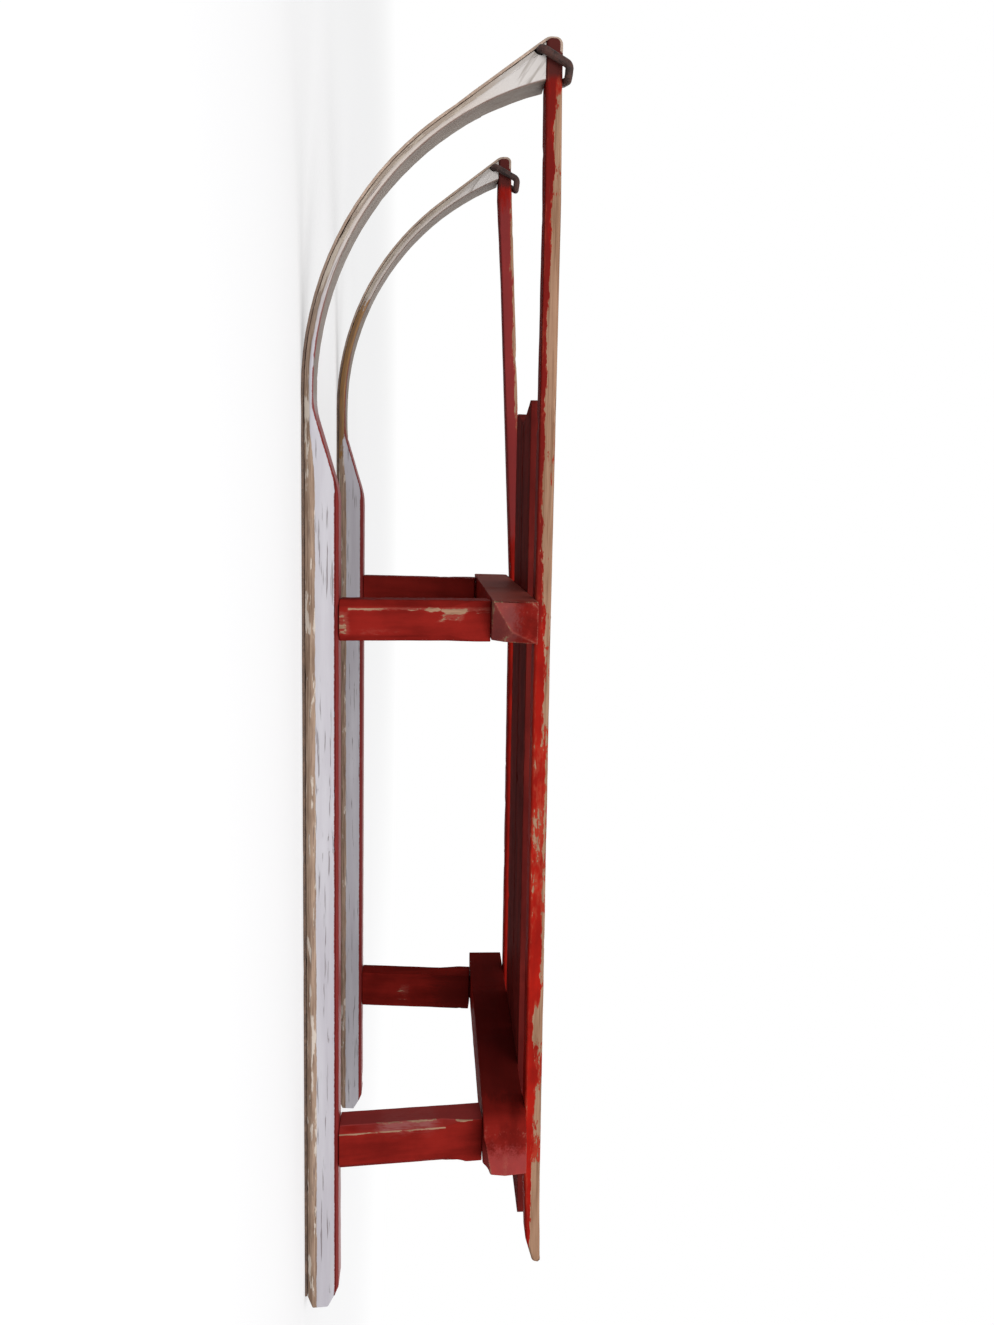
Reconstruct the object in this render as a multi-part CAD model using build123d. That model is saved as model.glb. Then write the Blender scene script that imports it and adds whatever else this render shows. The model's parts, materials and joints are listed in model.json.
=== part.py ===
from build123d import *
from collections import namedtuple
from math import atan, atan2, cos, degrees, hypot, pi, radians, sin, sqrt, tan
import os

# An old hand-made wooden sledge with two bent, iron-shod runners.
# Millimetres. +X points forward to the tips, +Z up from the soles to the seat, +Y to the left side.
# While it is built, X is measured from the runners' tails. At the end the whole sledge is moved
# so that X = 0 is the middle of its length. Z = 0 is the floor under the iron shoes.

# Runners: straight plank, then a long upward bend that meets the side rail
track_width = 380.0          # over the outer sides of the runners, at the floor
runner_wide = 32.0
runner_high = 29.5           # wood alone, in the straight part
lean_angle = 5.65            # both sides lean inwards towards the seat, degrees
bend_start = 855.0           # on the left side
bend_late = 17.0             # the right-hand bend starts this much further forward
shoe_thick = 2.5             # flat iron strip under the runner
shoe_wide = 24.0
bend_radius = 285.0          # outer side of the iron, through the bend
bend_thick = 11.0            # wood and iron together, through the bend
rake_angle = 52.4            # slope of the straight stretch up to the left tip, degrees
rake_more = 1.2              # the right-hand slope is steeper by this
taper_start = 772.0          # the thick plank starts to thin here
taper_end = 842.0            # and has the thickness of the bend here
taper_round = 60.0           # radius that eases both ends of the taper
tail_high = 17.0             # upright stretch of the runner's rear end
tail_cut = 18.0              # length of the sloping cut on top of the rear end
tail_lift = 5.0              # the sole turns up by this much at the rear end
tail_run = 10.0
sole_bevel_high = 5.0        # worn bevel along the lower edges
sole_bevel_deep = 3.5
top_arris = 3.0              # chamfer along the upper edges of the straight part
nose_radius = 11.4           # the iron turns at this radius from the slope up to the tip's end face
nose_corner = 6.0            # the iron's outer radius over the upper corner of the tip
strap_run = 7.0              # and it ends let into the rail's top, this far behind that corner
tip_flat = 31.0              # the rail lies on the runner's end this far behind the centre of the turn

# Side rails: flat laths from the tips back over both bridges
rail_wide = 28.0
rail_setback = 27.0          # rail ends this far in front of the runners' tails
rail_rear_low = 212.0        # height of the underside at the rear end
rail_rear_thick = 15.2
rail_nib_long = 25.0         # the underside slants up at the rear end
rail_nib_high = 7.5
rail_nib_round = 5.0         # radii of the corners there
rail_top_round = 3.0
rail_arris = 2.0
rail_bow_at = 1020.0         # the left rail bows up a little behind its tip
rail_bow_low = 205.0
rail_bow_thick = 14.4
rail_inset = 21.0            # outer side of each rail, in from the runner's outer side at the floor
tip_low = 203.3              # height of the underside at the left tip
tip_thick = 14.3
tip_drop = 21.0              # the old frame is twisted, and the right-hand tip has sunk by this much

# Two wide seat slats between the rails
slat_wide = 82.0
slat_thick = 12.0
slat_gap = 6.0               # slit along the middle of the seat
slat_rear = 18.0
slat_rear_low = 211.5        # height of the underside at the rear end
slat_front_low = 205.0       # and at the front corners
slat_front = 866.0           # front corners beside the rails
slat_cut_back = 18.0         # the front ends slant back by this much to the middle
slat_corner = 9.0
slat_arris = 1.5

# Bridges: each has two leaning posts and one crossbeam
beam_overhang = 15.0         # the crossbeams reach this far past the runners' outer sides
post_thick = 30.0
post_bevel = 6.0             # stopped bevel on the outer edges of the posts
bevel_stop = 14.0            # it runs out this far under the crossbeam
bevel_run = 24.0             # length over which it runs out
tenon_wide = 22.0
tenon_thick = 14.0
foot_tenon = 16.0            # depth in the runner
head_tenon = 26.0            # depth in the crossbeam
tenon_fit = 0.15             # clearance all round in the mortises

# Iron rings round the tips
ring_rod = 7.2
ring_flats = 16              # the smith's hammer left the rod not quite round
ring_side_gap = 1.5          # between the ring and the sides of the tip
ring_corner = 5.0
ring_seat = 0.2              # between the ring and the iron or the rail
ring_drop = 5.2              # the front strand's middle is this far below the rail's underside
ring_reach = 25.0            # from the front strand back to the rear one on the ring's left side
ring_skew = 13.0             # both rings sit askew: the right side of each reaches back less by this
ring_bend = 12.0             # the left side is highest this far in front of the rear strand
ring_lift = 1.0              # and this much higher than it

# Each bridge: middle, width, height and top of its crossbeam, radii on the front edges of the
# crossbeam's right and left ends, thickness of the rails on it, then middle and width of its posts
Bridge = namedtuple("Bridge", "name beam_x beam_wide beam_high beam_top rounds rail_thick post_x post_wide")
bridges = [
    Bridge("front", 662.0, 37.0, 39.5, 205.5, (2.0, 2.0), 15.0, 660.0, 37.0),
    Bridge("rear", 167.0, 47.0, 40.5, 208.0, (8.0, 32.0), 15.8, 161.0, 43.0),
]

# Knife cuts on the crossbeams' ends: bridge, direction cut from (0 is the top, 90 the front, 180 under),
# length along the beam, depth at the very end
Cut = namedtuple("Cut", "bridge roll long deep")
cuts = [
    Cut("front", 211.6, 27.0, 19.4),
    Cut("front", 245.0, 21.0, 16.3),
    Cut("front", 45.0, 5.0, 4.0),
    Cut("rear", 188.4, 22.0, 7.4),
    Cut("rear", 180.0, 3.5, 21.0),
    Cut("rear", 0.0, 3.5, 21.0),
]

# Each side: +1 for the left, start and end angle of its bend, underside of its rail at the tip
Side = namedtuple("Side", "name sign bend_start rake rail_low")
sides = [
    Side("left", 1, bend_start, radians(rake_angle), tip_low),
    Side("right", -1, bend_start + bend_late, radians(rake_angle + rake_more), tip_low - tip_drop),
]

# Rails and slats lie flat on the crossbeams: (x, z, rail's thickness) at both edges of each, rear to front
seats = [
    (bridge.beam_x + end * bridge.beam_wide / 2, bridge.beam_top, bridge.rail_thick)
    for bridge in reversed(bridges) for end in (-1, 1)
]

beam_long = track_width + 2 * beam_overhang
lean = tan(radians(lean_angle))
big = 1000.0                 # longer than any cutting block needs to be
near = 0.3                   # tolerance for picking edges by their place


def arc_point(side, depth, angle):
    """A point in the bend, at a depth inside the iron's face."""
    radius = bend_radius - depth
    return side.bend_start + radius * sin(angle), bend_radius - radius * cos(angle)


def rake_point(side, depth, height):
    """A point on the straight slope up to the tip."""
    start_x, start_z = arc_point(side, depth, side.rake)
    return start_x + (height - start_z) / tan(side.rake), height


def nose_point(side, radius, angle):
    """A point round the turn at the tip. The angle is 0 straight down, and grows forwards."""
    rise = (nose_radius - shoe_thick) * cos(side.rake)
    x, z = rake_point(side, nose_radius, side.rail_low + rise)
    return x + radius * sin(angle), z - radius * cos(angle)


def corner_point(side, radius, angle):
    """A point round the upper corner of the tip, with the angle as above."""
    x = nose_point(side, nose_radius, pi / 2)[0] - nose_corner
    z = side.rail_low + tip_thick - nose_corner
    return x + radius * sin(angle), z - radius * cos(angle)


def depth_at(side, spot):
    """How far a point of an edge lies inside the iron's face."""
    if spot.X <= side.bend_start:
        return spot.Z
    if atan2(spot.X - side.bend_start, bend_radius - spot.Z) <= side.rake:
        return bend_radius - hypot(spot.X - side.bend_start, bend_radius - spot.Z)
    foot_x, foot_z = arc_point(side, 0, side.rake)
    return (spot.Z - foot_z) * cos(side.rake) - (spot.X - foot_x) * sin(side.rake)


def outer_line(side, depth):
    """The sole's line at a depth: straight, bend, slope. It ends where the turn at the tip starts."""
    low, middle, high = [arc_point(side, depth, angle) for angle in (0, side.rake / 2, side.rake)]
    straight = Line((tail_run, depth), low)
    bend = ThreePointArc(low, middle, high)
    slope = Line(high, nose_point(side, nose_radius - depth, side.rake))
    return straight.edges() + bend.edges() + slope.edges()


def arc(point, side, radius, start, end):
    """An arc round the tip, by nose_point or corner_point."""
    angles = (start, (start + end) / 2, end)
    return ThreePointArc(*[point(side, radius, angle) for angle in angles]).edges()


def tip_line(side, depth):
    """The line round the tip at a depth, from the end of the slope to the end of the iron."""
    turn = nose_radius - depth
    corner = nose_corner - depth
    front = Line(nose_point(side, turn, pi / 2), corner_point(side, corner, pi / 2))
    strap = Line(corner_point(side, corner, pi), iron_end(side, depth))
    arcs = arc(nose_point, side, turn, side.rake, pi / 2) + arc(corner_point, side, corner, pi / 2, pi)
    return arcs + front.edges() + strap.edges()


def iron_end(side, depth):
    """Where the iron ends, on top of the rail, at a depth."""
    x, z = corner_point(side, nose_corner - depth, pi)
    return x - strap_run, z


def through(face, side, y_low, y_high):
    """Extrude an (x, z) face across the sledge, between two leaning planes.

    y_low and y_high are distances from the middle at the floor. Higher up, both are closer in.
    """
    upright = extrude(Plane.XZ.offset(-big / 2) * face, big)
    slab = Polyline(
        (y_low + lean * big, -big), (y_high + lean * big, -big),
        (y_high - lean * big, big), (y_low - lean * big, big), close=True,
    )
    block = extrude(Plane.YZ.offset(-big) * make_face(slab), 3 * big)
    if side.sign < 0:
        block = mirror(block, Plane.XZ)
    return upright & block


def on_lean(x, across, side):
    """Local frame of a leaning piece, at its foot. Its Z axis follows the lean."""
    return Pos(x, side.sign * across, 0) * Rot(side.sign * lean_angle, 0, 0)


def runner_face(side):
    top = shoe_thick + runner_high
    under_rail = bend_radius - side.rail_low
    reach = sqrt((bend_radius - bend_thick) ** 2 - under_rail ** 2)
    butt = (side.bend_start + reach, side.rail_low)
    crook = arc_point(side, bend_thick, 0)
    inner = ThreePointArc(butt, arc_point(side, bend_thick, atan2(reach, under_rail) / 2), crook)
    back = Polyline(
        crook, (taper_end, bend_thick), (taper_start, top), (tail_cut, top),
        (0, tail_lift + tail_high), (0, tail_lift + shoe_thick), (tail_run, shoe_thick),
    )
    under_tip = Line(nose_point(side, nose_radius - shoe_thick, side.rake), butt)
    face = make_face(outer_line(side, shoe_thick) + under_tip.edges() + inner.edges() + back.edges())
    corners = (taper_start, taper_end)
    eased = [v for v in face.vertices() if min(abs(v.X - corner) for corner in corners) < near]
    return fillet(eased, taper_round)


def flank_of(runner, sign):
    """The leaning side face of a runner that looks left for sign +1, right for -1."""
    faces = runner.faces().filter_by(lambda face: abs(face.normal_at().Y) > 0.9).sort_by(Axis.Y)
    return faces[-1] if sign > 0 else faces[0]


def runner(side):
    """A bent wooden runner with worn lower edges, chamfered upper edges and its mortises."""
    half = track_width / 2
    top = shoe_thick + runner_high
    solid = through(runner_face(side), side, half - runner_wide, half)
    for sign in (-1, 1):
        flank = flank_of(solid, sign)
        sole = [
            edge for edge in flank.edges()
            if abs(depth_at(side, edge @ 0.5) - shoe_thick) < near and edge.length > nose_radius
        ]
        solid = chamfer(sole, sole_bevel_high, sole_bevel_deep, reference=flank)
    plane_iron = Box(side.bend_start, top_arris * sqrt(2), top_arris * sqrt(2))
    for across in (half, half - runner_wide):
        edge = Pos(side.bend_start / 2, side.sign * (across - lean * top), top)
        solid -= edge * Rot(45, 0, 0) * plane_iron
    for bridge in bridges:
        solid -= tenons(bridge, side, tenon_fit)
    return solid - ring_notch(side)


def shoe(side):
    """The iron under a runner. It goes up the slope, round the tip and ends on top of the rail."""
    edges = []
    for depth in (0, shoe_thick):
        edges += outer_line(side, depth) + tip_line(side, depth)
    edges += Line((tail_run, 0), (tail_run, shoe_thick)).edges()
    edges += Line(iron_end(side, 0), iron_end(side, shoe_thick)).edges()
    margin = (runner_wide - shoe_wide) / 2
    half = track_width / 2
    return through(make_face(edges), side, half - runner_wide + margin, half - margin)


def rail_fall(side):
    """How steeply a rail goes down from the front bridge to its tip."""
    flat_x = nose_point(side, nose_radius, 0)[0] - tip_flat
    return (tip_low - side.rail_low) / (flat_x - seats[-1][0])


def rail_face(side):
    split = nose_point(side, nose_radius - shoe_thick, side.rake)
    flat_x = nose_point(side, nose_radius, 0)[0] - tip_flat
    fall = rail_fall(side)
    sag = fall * (rail_bow_at - seats[-1][0])
    line = [(rail_setback, rail_rear_low, rail_rear_thick)] + seats
    line += [(rail_bow_at, rail_bow_low - sag, rail_bow_thick)]
    line += [(flat_x, side.rail_low, tip_thick + fall * tip_flat)]
    nib = [(rail_setback, rail_rear_low + rail_nib_high), (rail_setback + rail_nib_long, rail_rear_low)]
    under = Polyline(nib + [(x, z) for x, z, thick in line[1:]] + [split])
    step = iron_end(side, shoe_thick)
    high = [(x, z + thick) for x, z, thick in reversed(line)]
    top = Polyline([step, (step[0], step[1] + shoe_thick)] + high + [nib[0]])
    face = make_face(under.edges() + tip_line(side, shoe_thick) + top.edges())
    for end, radius in [(0, rail_nib_round), (-1, rail_top_round)]:
        heel = [v for v in face.vertices() if abs(v.X - rail_setback) < near]
        face = fillet(sorted(heel, key=lambda v: v.Y)[end], radius)
    return face


def rail(side):
    """A side rail with its long edges taken off, up to the iron at the tip."""
    solid = extrude(Plane.XZ.offset(rail_inset - track_width / 2) * rail_face(side), rail_wide)
    flat_x = nose_point(side, nose_radius, 0)[0] - tip_flat
    for face_index in (0, -1):
        flank = solid.faces().filter_by(Axis.Y).sort_by(Axis.Y)[face_index]
        long = [edge for edge in flank.edges() if edge.length > rail_wide and (edge @ 0.5).X < flat_x]
        solid = chamfer(long, rail_arris)
    if side.sign < 0:
        solid = mirror(solid, Plane.XZ)
    return solid - ring_notch(side)


def slat(side):
    """One wide seat slat: bent a little over the crossbeams, its front end slanting to the middle."""
    inner = slat_gap / 2
    outer = inner + slat_wide
    under = [(slat_rear, slat_rear_low)] + [(x, z) for x, z, thick in seats] + [(slat_front, slat_front_low)]
    profile = Polyline(under + [(x, z + slat_thick) for x, z in reversed(under)], close=True)
    board = extrude(Plane.XZ.offset(-big / 2) * make_face(profile), big)
    outline = Polyline(
        (slat_rear, side.sign * inner), (slat_front - slat_cut_back, side.sign * inner),
        (slat_front, side.sign * outer), (slat_rear, side.sign * outer), close=True,
    )
    face = make_face(outline)
    board &= extrude(fillet([v for v in face.vertices() if abs(v.Y) > (inner + outer) / 2], slat_corner), big)
    tops = [edge for face in board.faces() if face.normal_at().Z > 0.9 for edge in face.edges()]
    middles = [edge @ 0.5 for edge in tops]
    rim = [
        edge for edge, spot in zip(tops, middles)
        if sum((spot - other).length < near for other in middles) == 1
    ]
    return chamfer(rim, slat_arris)


def tenons(bridge, side, grow):
    """Both tenons of a post, or the mortises that take them when grow is the clearance."""
    low = shoe_thick + runner_high - foot_tenon - grow
    high = bridge.beam_top - bridge.beam_high + head_tenon + grow
    core = Box(tenon_wide + 2 * grow, tenon_thick + 2 * grow, 2 * high)
    core = on_lean(bridge.post_x, track_width / 2 - post_thick / 2, side) * core
    return core & Pos(bridge.post_x, 0, (low + high) / 2) * Box(2 * tenon_wide, big, high - low)


def post(bridge, side):
    """A leaning post between runner and crossbeam, with bevels that run out on its outer edges."""
    low = shoe_thick + runner_high
    high = bridge.beam_top - bridge.beam_high
    body = Box(bridge.post_wide, post_thick, 2 * high)
    depth = post_bevel / sqrt(2)
    run_top = high - bevel_stop
    tilt = degrees(atan(depth / bevel_run))
    for end in (-1, 1):
        outward = degrees(atan2(side.sign, end))
        corner = Pos(end * bridge.post_wide / 2, side.sign * post_thick / 2, 0) * Rot(0, 0, outward)
        knife = Pos(post_thick - depth, 0, 0) * Box(2 * post_thick, 2 * post_thick, 2 * run_top)
        block = Pos(big / 2, 0, 0) * Box(big, 2 * post_thick, 2 * big)
        ramp = Pos(-depth, 0, run_top - bevel_run) * Rot(0, tilt, 0) * block
        body -= corner * (knife & ramp)
    body = on_lean(bridge.post_x, track_width / 2 - post_thick / 2, side) * body
    body &= Pos(bridge.post_x, 0, (low + high) / 2) * Box(2 * bridge.post_wide, big, high - low)
    return body + tenons(bridge, side, 0)


def crossbeam(bridge):
    """A crossbeam with a mortise for each post and knife cuts on its ends."""
    middle = Pos(bridge.beam_x, 0, bridge.beam_top - bridge.beam_high / 2)
    beam = Box(bridge.beam_wide, beam_long, bridge.beam_high)
    for end, radius in enumerate(bridge.rounds):
        front_ends = beam.edges().filter_by(Axis.Z).group_by(Axis.X)[-1].sort_by(Axis.Y)
        beam = fillet(front_ends[-end], radius)
    for cut in cuts:
        if cut.bridge == bridge.name:
            turn = radians(cut.roll)
            reach = bridge.beam_wide / 2 * abs(sin(turn)) + bridge.beam_high / 2 * abs(cos(turn))
            slope = degrees(atan(cut.deep / cut.long))
            for end in (-1, 1):
                start = Pos(0, end * (beam_long / 2 - cut.long), reach) * Rot(end * -slope, 0, 0)
                beam -= Rot(0, cut.roll, 0) * start * Pos(0, 0, big / 2) * Box(big, big, big)
    beam = middle * beam
    for side in sides:
        beam -= tenons(bridge, side, tenon_fit)
    return beam


def ring_place(side):
    """Middle of the ring's front strand, (x, z), under the iron on the slope."""
    return rake_point(side, shoe_thick + ring_seat + ring_rod / 2, side.rail_low - ring_drop)


def ring_notch(side):
    """The notch in the runner, open to the front, in which the ring's front strand lies."""
    x, z = ring_place(side)
    wide = ring_rod + 2 * ring_seat
    bed = Rot(90, 0, 0) * Cylinder(wide / 2, 2 * track_width)
    mouth = Pos(nose_radius, 0, 0) * Box(2 * nose_radius, 2 * track_width, wide)
    return Pos(x, 0, z) * (bed + Rot(0, 90 - degrees(side.rake), 0) * mouth)


def tow_ring(side):
    """A closed iron ring round the tip: under the iron in front, over the rail behind."""
    front_x, front_z = ring_place(side)
    rear_z = side.rail_low + tip_thick + rail_fall(side) * tip_flat + ring_seat + ring_rod / 2
    middle_y = side.sign * (track_width / 2 - runner_wide / 2 - lean * front_z)
    half_y = runner_wide / 2 + ring_side_gap + ring_rod / 2
    rear_x = front_x - ring_reach
    wire = FilletPolyline(
        (front_x, middle_y + half_y, front_z),
        (rear_x + ring_bend, middle_y + half_y, rear_z + ring_lift),
        (rear_x, middle_y + half_y, rear_z),
        (rear_x + ring_skew, middle_y - half_y, rear_z),
        (front_x, middle_y - half_y, front_z),
        radius=ring_corner, close=True,
    )
    return rod(wire, ring_rod, ring_flats)


def rod(line, thick, flats):
    """A rod with flats along a closed line of straight runs and arcs, hammered shut at its start."""
    edges = line.order_edges()
    end = Plane(origin=edges[0] @ 0, z_dir=edges[0] % 0) * RegularPolygon(thick / 2, flats)
    pieces = []
    for edge in edges:
        if edge.geom_type == GeomType.LINE:
            pieces.append(extrude(end, edge.length, dir=edge % 0))
            end = Pos(*(edge @ 1 - edge @ 0)) * end
        else:
            middle = edge.arc_center
            axis = Axis(middle, (edge @ 0 - middle).cross(edge % 0))
            turn = degrees(edge.length / edge.radius)
            pieces.append(revolve(end, axis, turn))
            end = end.rotate(axis, turn)
    return pieces[0].fuse(*pieces[1:])


makers = {"runner": runner, "shoe": shoe, "rail": rail, "slat": slat, "tow_ring": tow_ring}
nodes = {}
for side in sides:
    for kind, make in makers.items():
        nodes[kind + "_" + side.name] = make(side)
    for bridge in bridges:
        nodes["post_" + bridge.name + "_" + side.name] = post(bridge, side)
for bridge in bridges:
    nodes["crossbeam_" + bridge.name] = crossbeam(bridge)

spans = [solid.bounding_box() for solid in nodes.values()]
middle_x = (min(span.min.X for span in spans) + max(span.max.X for span in spans)) / 2

os.makedirs("parts", exist_ok=True)
for name, solid in nodes.items():
    export_step(Pos(-middle_x, 0, 0) * solid, "parts/" + name + ".step")
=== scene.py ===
"""An old wooden hand sledge in worn red and white paint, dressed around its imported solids.

Metres, in the solids' own frame: +X forward to the turned-up tips, +Y the sledge's left, +Z up.
Places on the sledge are given with X from the runners' tails. The frame's own X starts at its middle.
The camera is rolled, because the photograph shows the sledge stood on its tail.
"""

from __future__ import annotations

import json
import logging
import math
from dataclasses import dataclass
from enum import Enum
from typing import NamedTuple, Optional, Sequence, Union

import bmesh
import bpy
from mathutils import Matrix, Vector, noise
from mathutils.bvhtree import BVHTree

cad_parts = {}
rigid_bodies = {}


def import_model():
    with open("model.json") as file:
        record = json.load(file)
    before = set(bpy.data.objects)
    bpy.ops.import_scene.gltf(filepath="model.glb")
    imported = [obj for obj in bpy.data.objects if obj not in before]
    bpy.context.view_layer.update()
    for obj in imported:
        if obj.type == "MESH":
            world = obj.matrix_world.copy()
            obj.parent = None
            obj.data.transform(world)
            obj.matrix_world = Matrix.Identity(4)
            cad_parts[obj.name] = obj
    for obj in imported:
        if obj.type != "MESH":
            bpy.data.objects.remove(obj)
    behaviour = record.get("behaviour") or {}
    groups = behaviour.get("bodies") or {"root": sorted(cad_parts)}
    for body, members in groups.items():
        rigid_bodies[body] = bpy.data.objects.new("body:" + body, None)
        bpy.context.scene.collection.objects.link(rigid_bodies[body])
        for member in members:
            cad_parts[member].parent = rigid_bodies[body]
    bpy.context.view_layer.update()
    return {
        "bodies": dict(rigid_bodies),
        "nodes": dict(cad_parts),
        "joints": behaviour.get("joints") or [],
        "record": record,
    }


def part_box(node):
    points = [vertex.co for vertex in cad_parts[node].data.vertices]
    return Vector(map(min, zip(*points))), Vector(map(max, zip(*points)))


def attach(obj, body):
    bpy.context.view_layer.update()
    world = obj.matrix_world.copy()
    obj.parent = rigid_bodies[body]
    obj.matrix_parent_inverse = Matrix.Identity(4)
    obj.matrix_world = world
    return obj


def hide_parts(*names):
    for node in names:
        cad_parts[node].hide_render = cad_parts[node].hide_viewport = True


LOG = logging.getLogger("sledge")
Colour = tuple[float, float, float]
Direction = tuple[float, float, float]
Place = tuple[float, float, float]
Limits = tuple[float, float]
Number = Union["Sock", float]

# Measures of the solids, which the runners' paint and nails follow.
TRACK = 0.380
RUNNER_WIDE = 0.032
LEAN = math.radians(5.65)
BEND_RADIUS = 0.285

LEFTWARDS: Direction = (0.0, 1.0, 0.0)
RIGHTWARDS: Direction = (0.0, -1.0, 0.0)
FORWARDS: Direction = (1.0, 0.0, 0.0)
UPWARDS: Direction = (0.0, 0.0, 1.0)
DOWNWARDS: Direction = (0.0, 0.0, -1.0)
BEVELWARDS: Direction = (0.707, 0.707, 0.0)
FACING: Limits = (0.62, 0.84)

WELD = 2e-6
FLAT_UNDER = math.radians(1.0)


class Side(Enum):
    """The two sides of the sledge: sign of Y, start of the bend from the tail and slope up to the tip."""

    LEFT = (1, 0.855, math.radians(52.4))
    RIGHT = (-1, 0.872, math.radians(53.6))

    def __init__(self, sign: int, bend_start: float, rake: float) -> None:
        """Name the three values."""
        self.sign = sign
        self.bend_start = bend_start
        self.rake = rake

    @staticmethod
    def of(name: str) -> "Side":
        """The side that a node's name ends with."""
        return Side.LEFT if name.endswith("left") else Side.RIGHT


def srgb(red: float, green: float, blue: float) -> Colour:
    """Turn a colour in 0 to 255 display values into linear light."""
    def linear(value: float) -> float:
        share = value / 255
        return share / 12.92 if share <= 0.04045 else ((share + 0.055) / 1.055) ** 2.4

    return linear(red), linear(green), linear(blue)


class Sock:
    """A node's output that adds Math nodes when Python operators are used on it."""

    def __init__(self, graph: "Graph", socket: bpy.types.NodeSocket) -> None:
        """Keep the graph and the output that this stands for."""
        self.graph = graph
        self.socket = socket

    def __add__(self, other: Number) -> "Sock":
        """Sum."""
        return self.graph.math("ADD", self, other)

    def __radd__(self, other: Number) -> "Sock":
        """Sum with a number on the left."""
        return self.graph.math("ADD", other, self)

    def __sub__(self, other: Number) -> "Sock":
        """Difference."""
        return self.graph.math("SUBTRACT", self, other)

    def __rsub__(self, other: Number) -> "Sock":
        """Difference from a number on the left."""
        return self.graph.math("SUBTRACT", other, self)

    def __mul__(self, other: Number) -> "Sock":
        """Product."""
        return self.graph.math("MULTIPLY", self, other)

    def __gt__(self, other: Number) -> "Sock":
        """1 where this is greater, otherwise 0."""
        return self.graph.math("GREATER_THAN", self, other)

    def __abs__(self) -> "Sock":
        """Size without the sign."""
        return self.graph.math("ABSOLUTE", self)

    def at_least(self, other: Number) -> "Sock":
        """The greater of two values."""
        return self.graph.math("MAXIMUM", self, other)

    def at_most(self, other: Number) -> "Sock":
        """The smaller of two values."""
        return self.graph.math("MINIMUM", self, other)


class Graph:
    """The node tree of one material or world, filled through one method."""

    def __init__(self, tree: bpy.types.NodeTree) -> None:
        """Start with an empty tree."""
        tree.nodes.clear()
        self.tree = tree

    def add(self, kind: str, settings: dict, inputs: dict, output: Union[int, str] = 0) -> Sock:
        """Add one node.

        Args:
            kind: The node's type.
            settings: Properties set before anything is linked.
            inputs: Values or sockets by input name or index.
            output: Which output is returned.

        Returns:
            The chosen output.
        """
        node = self.tree.nodes.new(kind)
        for key, value in settings.items():
            setattr(node, key, value)
        for key, value in inputs.items():
            socket = node.inputs[key]
            if isinstance(value, Sock):
                self.tree.links.new(value.socket, socket)
            elif isinstance(value, tuple) and socket.type == "RGBA":
                socket.default_value = (*value, 1.0)
            else:
                socket.default_value = value
        return Sock(self, node.outputs[output]) if node.outputs else Sock(self, None)

    def surface(self, height: Sock, strength: float, depth: float, inputs: dict) -> None:
        """End a material with a Principled shader over a bump.

        Args:
            height: The bump's height.
            strength: The bump's strength.
            depth: What a height of 1 is, in metres.
            inputs: The shader's other inputs, by name.
        """
        bump = self.add("ShaderNodeBump", {}, {"Strength": strength, "Distance": depth, "Height": height})
        shader = self.add("ShaderNodeBsdfPrincipled", {}, {**inputs, "Normal": bump})
        self.add("ShaderNodeOutputMaterial", {}, {"Surface": shader})

    def number(self, value: float) -> Sock:
        """A plain value that Python operators work on."""
        return self.math("ADD", value, 0.0)

    def math(self, operation: str, *values: Number) -> Sock:
        """Add a Math node on one to three values."""
        return self.add("ShaderNodeMath", {"operation": operation}, dict(enumerate(values)))

    def ramp(self, value: Number, low: float, high: float) -> Sock:
        """Go smoothly from 0 to 1 as a value goes from low to high, and stay there."""
        settings = {"interpolation_type": "SMOOTHSTEP", "clamp": True}
        return self.add("ShaderNodeMapRange", settings, {"Value": value, "From Min": low, "From Max": high})

    def mix(self, share: Number, first: Union[Sock, Colour], second: Union[Sock, Colour]) -> Sock:
        """Blend two colours."""
        settings = {"data_type": "RGBA", "clamp_factor": True}
        return self.add("ShaderNodeMix", settings, {0: share, 6: first, 7: second}, 2)

    def vector(self, x: Number, y: Number, z: Number) -> Sock:
        """Join three values."""
        return self.add("ShaderNodeCombineXYZ", {}, {0: x, 1: y, 2: z})

    def dot(self, vector: Sock, direction: Sequence[float]) -> Sock:
        """How far a vector goes in a direction."""
        return self.add("ShaderNodeVectorMath", {"operation": "DOT_PRODUCT"}, {0: vector, 1: direction}, "Value")

    def clouds(self, vector: Sock, scale: float, detail: float, rough: float) -> Sock:
        """Cloudy noise, mostly from -1 to 1."""
        inputs = {"Vector": vector, "Scale": scale, "Detail": detail, "Roughness": rough}
        return self.add("ShaderNodeTexNoise", {}, inputs) * 4.0 - 2.0

    def place(self) -> Sock:
        """Object coordinates."""
        return self.add("ShaderNodeTexCoord", {}, {}, "Object")

    def split(self, vector: Sock) -> list[Sock]:
        """A vector's three values."""
        return [self.add("ShaderNodeSeparateXYZ", {}, {0: vector}, axis) for axis in range(3)]

    def facing(self, direction: Sequence[float]) -> Sock:
        """1 where the surface faces a direction, 0 where it looks away from it."""
        normal = self.add("ShaderNodeNewGeometry", {}, {}, "Normal")
        return self.ramp(self.dot(normal, direction), *FACING)


def new_material(name: str) -> tuple[bpy.types.Material, Graph]:
    """Start a material with an empty node tree."""
    material = bpy.data.materials.new(name)
    material.use_nodes = True
    return material, Graph(material.node_tree)


def new_piece(made: bmesh.types.BMesh, name: str) -> bpy.types.Object:
    """Turn a bmesh into a smoothly shaded object of the scene, and free it."""
    mesh = bpy.data.meshes.new(name)
    made.to_mesh(mesh)
    made.free()
    mesh.polygons.foreach_set("use_smooth", [True] * len(mesh.polygons))
    piece = bpy.data.objects.new(name, mesh)
    bpy.context.scene.collection.objects.link(piece)
    return piece


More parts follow.
